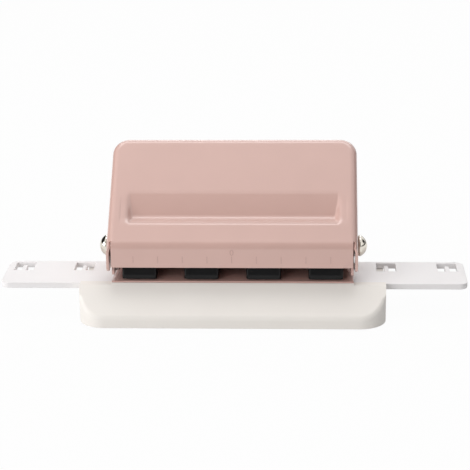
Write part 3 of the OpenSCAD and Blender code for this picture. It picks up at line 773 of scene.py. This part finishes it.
class PUNCH_OT_punches(bpy.types.Operator):
    """Make the guide blocks, punches and caps"""
    bl_idname = "punch.punches"
    bl_label = "Punches"

    def execute(self, context):
        edges = context.scene.punch_edges
        for hole in HOLES:
            self.mould_block(f"guide_block_{hole}", edges)
            dress_node(f"punch_{hole}", f"punch_{hole}", "steel", edges.small)
            dress_node(f"punch_cap_{hole}", f"punch_{hole}", "black_cap", edges.block)
        return {"FINISHED"}

    def mould_block(self, node, edges):
        """A guide block, whose face leans back above an upright foot."""
        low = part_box(node)[0]
        bend = low.z + edges.block_foot
        bm = node_copy(node)
        everything = bm.verts[:] + bm.edges[:] + bm.faces[:]
        cut = bmesh.ops.bisect_plane(bm, geom=everything, plane_co=(0, 0, bend), plane_no=(0, 0, 1))
        front = low.y + BLOCK_NOSE
        for vert in bm.verts:
            if vert.co.y < front and vert.co.z > bend:
                vert.co.y += (vert.co.z - bend) * math.tan(edges.block_lean)
        bm.normal_update()
        bends = [item for item in cut["geom_cut"] if isinstance(item, bmesh.types.BMEdge)]
        bends = [edge for edge in bends if all(vert.co.y < front for vert in edge.verts)]
        soften(bm, edges.block, 3, list(set(sharp_edges(bm) + bends)))
        piece = add_piece(node + "_shape", bm, "base", "black_block", [node])
        even_normals(piece)


class PUNCH_OT_springs(bpy.types.Operator):
    """Wind the punch springs as coils that keep their wound length; the real springs flatten as the punches
    drop
    """
    bl_idname = "punch.springs"
    bl_label = "Springs"

    def execute(self, context):
        for hole in HOLES:
            self.wind(hole)
        return {"FINISHED"}

    def wind(self, hole):
        """A coil with closed ends between the bridge and a cap."""
        low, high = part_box(f"punch_spring_{hole}")
        cap_low, cap_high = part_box(f"punch_cap_{hole}")
        centre = (cap_low + cap_high) / 2
        radius = (high.x - low.x - SPRING_WIRE) / 2
        start = Vector((centre.x + radius, centre.y, low.z + SPRING_WIRE / 2))
        upright = Matrix.Rotation(math.pi / 2, 4, "X")
        bm = bmesh.new()
        ring = bmesh.ops.create_circle(bm, segments=WIRE_SIDES, radius=SPRING_WIRE / 2,
                                       matrix=Matrix.Translation(start) @ upright)
        geom = ring["verts"] + list({edge for vert in ring["verts"] for edge in vert.link_edges})
        end = (END_TURNS, END_RISE * SPRING_WIRE)
        body = (BODY_TURNS, high.z - low.z - SPRING_WIRE - 2 * end[1])
        for turns, climb in (end, body, end):
            steps = round(turns * TURN_STEPS)
            made = bmesh.ops.spin(bm, geom=geom, cent=centre, axis=(0, 0, 1), dvec=(0, 0, climb / steps),
                                  angle=turns * 2 * math.pi, steps=steps)
            geom = made["geom_last"]
        bmesh.ops.holes_fill(bm, edges=[edge for edge in bm.edges if edge.is_boundary])
        bmesh.ops.recalc_face_normals(bm, faces=bm.faces)
        piece = add_piece(f"punch_spring_{hole}_coil", bm, "base", "spring_steel", [f"punch_spring_{hole}"])
        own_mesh(piece)


class PUNCH_OT_pivots(bpy.types.Operator):
    """Set the pivot rivets, the washers and the press bar"""
    bl_idname = "punch.pivots"
    bl_label = "Pivots"

    def execute(self, context):
        small = context.scene.punch_edges.small
        sizes = context.scene.punch_pivots
        for side in SIDES:
            self.set_rivet(side, sizes)
            dress_node(f"{side}_pivot_washer", "base", "white_washer", small / 3)
        self.set_bar(sizes)
        return {"FINISHED"}

    def set_rivet(self, side, sizes):
        """A rivet with a domed head outside and an upset tail inside."""
        node = f"{side}_pivot_rivet"
        low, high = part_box(node)
        way = math.copysign(1, low.x + high.x)
        tip, tail = max(abs(low.x), abs(high.x)), min(abs(low.x), abs(high.x))
        head = (high.z - low.z) / 2
        shank = sizes.shank / 2
        seat = lever_high.x + sizes.seat
        soft = sizes.chamfer
        bulge = tip - seat - sizes.rim
        ball = (head * head + bulge * bulge) / (2 * bulge)
        widest = math.asin(head / ball)
        under = [(seat + sizes.rim * (1 - math.cos(turn)), head - sizes.rim * (1 - math.sin(turn)))
                 for turn in (math.pi / 2 * step / RIM_STEPS for step in range(RIM_STEPS))]
        upset = shank + sizes.tail_over
        outline = [(tail, 0), (tail, upset - soft), (tail + soft, upset), (tail + sizes.tail - soft, upset),
                   (tail + sizes.tail, shank), (seat, shank)] + under
        for step in range(DOME_STEPS + 1):
            turn = widest * (1 - step / DOME_STEPS)
            outline.append((tip - ball + ball * math.cos(turn), ball * math.sin(turn)))
        centre = Vector((0, pivot.y, pivot.z))
        bm = turned([(way * place, radius) for place, radius in outline], centre)
        add_piece(node + "_shape", bm, "base", "nickel", [node])

    def set_bar(self, sizes):
        """A shouldered bar whose necks are staked over outside the lever's walls."""
        half = lever_high.x
        inner = half - bpy.context.scene.punch_lever.sheet - sizes.seat
        thick = (press_bar_high.z - press_bar_low.z) / 2
        soft = sizes.chamfer
        stake = sizes.stake / 2
        out = sizes.stake_out
        ends = [(half + out, 0), (half + out, STAKE_TOP * stake),
                (half + STAKE_TOP * out, STAKE_SHOULDER * stake), (half, stake), (inner, stake),
                (inner, thick - soft), (inner - soft, thick)]
        outline = ends + [(-place, radius) for place, radius in reversed(ends)]
        bm = turned(outline, press_bar_mid, 48)
        add_piece("press_bar_shape", bm, "lever", "steel", ["press_bar"])


class PUNCH_OT_fasteners(bpy.types.Operator):
    """Set the screws and small rivets"""
    bl_idname = "punch.fasteners"
    bl_label = "Fasteners"

    def execute(self, context):
        small = context.scene.punch_edges.small
        for node in ("frame_screws", "bridge_rivets", "block_screws"):
            dress_node(node, "base", "steel", small)
        return {"FINISHED"}


def studio_white(tree, plain, share_white):
    """Mixes plain white into a shader where the camera, a gloss or glass sees it."""
    path = tree.nodes.new("ShaderNodeLightPath")
    seen = path.outputs["Is Camera Ray"]
    for ray in ("Is Glossy Ray", "Is Transmission Ray"):
        either = tree.nodes.new("ShaderNodeMath")
        either.operation = "MAXIMUM"
        tree.links.new(seen, either.inputs[0])
        tree.links.new(path.outputs[ray], either.inputs[1])
        seen = either.outputs["Value"]
    part = tree.nodes.new("ShaderNodeMath")
    part.operation = "MULTIPLY"
    part.inputs[1].default_value = share_white
    tree.links.new(seen, part.inputs[0])
    mix = tree.nodes.new("ShaderNodeMixShader")
    tree.links.new(part.outputs["Value"], mix.inputs["Fac"])
    tree.links.new(plain, mix.inputs[1])
    return mix


class PUNCH_OT_stage(bpy.types.Operator):
    """Set the floor, the light and the camera"""
    bl_idname = "punch.stage"
    bl_label = "Stage"

    def execute(self, context):
        stage = context.scene.punch_stage
        self.set_floor(context, stage)
        self.set_world(context, stage)
        self.set_lamp(context, "overhead softbox", stage.overhead, (0, 0.115, 0.62), AIM, 0.6, 0.24)
        self.set_lamp(context, "rear softbox", stage.rear, (0, 0.75, 0.5), AIM, 0.9, 0.16)
        self.set_lamp(context, "left softbox", stage.key, (-0.9, -0.22, 0.2), AIM, 0.35, 0.3)
        self.set_lamp(context, "right softbox", stage.fill, (0.6, -0.4, 0.45), AIM, 0.5, 0.5)
        self.set_lamp(context, "front softbox", stage.front, (-0.5, -0.72, 0.32), (0, 0, 0.02), 0.7, 0.4,
                      mirrored=False)
        self.set_flag(context, "front flag", (0, -1.05, 0.62), 1.6, 1.35)
        self.set_flag(context, "left flag", (-0.8, 0.62, 0.4), 1.3, 0.7)
        self.set_flag(context, "right flag", (1.05, 0.15, 0.1), 1.7, 0.16)
        self.set_flag(context, "rear flag", (0.65, 1.0, 0.1), 1.2, 0.14)
        self.set_flag(context, "far right flag", (0.9, 0.33, 0.4), 0.5, 0.4)
        self.set_flag(context, "right shade", (0.9, -0.15, 0.35), 0.8, 0.45, shades=True)
        self.set_camera(context, stage)
        context.scene.view_settings.view_transform = "Standard"
        return {"FINISHED"}

    def set_floor(self, context, stage):
        """A wide pale floor at the height of the feet."""
        bm = bmesh.new()
        bmesh.ops.create_grid(bm, x_segments=1, y_segments=1, size=FLOOR_HALF)
        mesh = bpy.data.meshes.new("floor")
        bm.to_mesh(mesh)
        bm.free()
        material = bpy.data.materials.new("floor white")
        material.use_nodes = True
        tree = material.node_tree
        main = tree.nodes["Principled BSDF"]
        main.inputs["Base Color"].default_value = (*FLOOR_GREY, 1)
        main.inputs["Roughness"].default_value = MATT
        main.inputs["Specular IOR Level"].default_value = 0.1
        mix = studio_white(tree, main.outputs["BSDF"], stage.floor_white)
        white = tree.nodes.new("ShaderNodeEmission")
        tree.links.new(white.outputs["Emission"], mix.inputs[2])
        tree.links.new(mix.outputs["Shader"], tree.nodes["Material Output"].inputs["Surface"])
        mesh.materials.append(material)
        floor = bpy.data.objects.new("floor", mesh)
        context.scene.collection.objects.link(floor)

    def set_world(self, context, stage):
        """Even soft light, with a white background behind the set."""
        world = bpy.data.worlds.new("studio")
        world.use_nodes = True
        tree = world.node_tree
        plain = tree.nodes["Background"]
        plain.inputs["Color"].default_value = (1, 1, 1, 1)
        plain.inputs["Strength"].default_value = stage.ambient
        mix = studio_white(tree, plain.outputs["Background"], 1)
        white = tree.nodes.new("ShaderNodeBackground")
        white.inputs["Color"].default_value = (1, 1, 1, 1)
        tree.links.new(white.outputs["Background"], mix.inputs[2])
        tree.links.new(mix.outputs["Shader"], tree.nodes["World Output"].inputs["Surface"])
        context.scene.world = world

    def set_flag(self, context, name, place, width, height, shades=False):
        """A dark card outside the view, which gloss shows, or which keeps off soft light where it shades."""
        bm = bmesh.new()
        bmesh.ops.create_grid(bm, x_segments=1, y_segments=1, size=0.5)
        facing = (Vector(AIM) - Vector(place)).to_track_quat("-Z", "Y").to_matrix().to_4x4()
        size = Matrix.Diagonal((width, height, 1, 1))
        bmesh.ops.transform(bm, matrix=Matrix.Translation(place) @ facing @ size, verts=bm.verts)
        mesh = bpy.data.meshes.new(name)
        bm.to_mesh(mesh)
        bm.free()
        mesh.materials.append(new_finish(name, FLAG_BLACK, MATT)[0])
        flag = bpy.data.objects.new(name, mesh)
        flag.visible_camera = False
        flag.visible_diffuse = shades
        flag.visible_glossy = not shades
        flag.visible_shadow = False
        context.scene.collection.objects.link(flag)

    def set_lamp(self, context, name, power, place, target, width, depth, mirrored=True):
        """A rectangular softbox that faces a target, and that gloss shows where it is mirrored."""
        data = bpy.data.lights.new(name, "AREA")
        data.shape = "RECTANGLE"
        data.size = width
        data.size_y = depth
        data.energy = power
        lamp = bpy.data.objects.new(name, data)
        lamp.location = place
        lamp.visible_camera = False
        lamp.visible_glossy = mirrored
        lamp.rotation_euler = (Vector(target) - Vector(place)).to_track_quat("-Z", "Y").to_euler()
        context.scene.collection.objects.link(lamp)

    def set_camera(self, context, stage):
        """The camera at the photograph's viewing angle."""
        level = math.cos(stage.elevation)
        back = Vector((math.sin(stage.yaw) * level, -math.cos(stage.yaw) * level,
                       math.sin(stage.elevation)))
        right = Vector((math.cos(stage.yaw), math.sin(stage.yaw), 0))
        up = back.cross(right)
        across = right * math.cos(stage.roll) + up * math.sin(stage.roll)
        upright = back.cross(across)
        data = bpy.data.cameras.new("camera")
        data.lens = stage.lens
        data.sensor_width = SENSOR_WIDTH
        camera = bpy.data.objects.new("camera", data)
        turn = Matrix((across, upright, back)).transposed().to_4x4()
        camera.matrix_world = Matrix.Translation(CAMERA_TARGET + back * stage.distance) @ turn
        context.scene.collection.objects.link(camera)
        context.scene.camera = camera


BUILDERS = (PUNCH_OT_lever, PUNCH_OT_scale, PUNCH_OT_base, PUNCH_OT_gauge, PUNCH_OT_frame, PUNCH_OT_punches,
            PUNCH_OT_springs, PUNCH_OT_pivots, PUNCH_OT_fasteners, PUNCH_OT_stage)


class PUNCH_PT_panel(bpy.types.Panel):
    """Lists the pieces of the punch and the stage"""
    bl_idname = "PUNCH_PT_panel"
    bl_label = "Disc binding punch"
    bl_space_type = "VIEW_3D"
    bl_region_type = "UI"
    bl_category = "Punch"

    def draw(self, context):
        for builder in BUILDERS:
            self.layout.operator(builder.bl_idname)


GROUPS = {"punch_lever": PunchLeverSizes, "punch_scale": PunchScaleSizes, "punch_pivots": PunchPivotSizes,
          "punch_edges": PunchEdgeSizes, "punch_colours": PunchColours, "punch_stage": PunchStageSettings}


def register():
    for name, group in GROUPS.items():
        bpy.utils.register_class(group)
        setattr(bpy.types.Scene, name, PointerProperty(type=group))
    for builder in BUILDERS:
        bpy.utils.register_class(builder)
    bpy.utils.register_class(PUNCH_PT_panel)


def unregister():
    bpy.utils.unregister_class(PUNCH_PT_panel)
    for builder in reversed(BUILDERS):
        bpy.utils.unregister_class(builder)
    for name, group in GROUPS.items():
        delattr(bpy.types.Scene, name)
        bpy.utils.unregister_class(group)


def main():
    register()
    bpy.ops.punch.lever()
    bpy.ops.punch.scale()
    bpy.ops.punch.base()
    bpy.ops.punch.gauge()
    bpy.ops.punch.frame()
    bpy.ops.punch.punches()
    bpy.ops.punch.springs()
    bpy.ops.punch.pivots()
    bpy.ops.punch.fasteners()
    bpy.ops.punch.stage()
    bpy.context.view_layer.update()


if __name__ == "__main__":
    main()
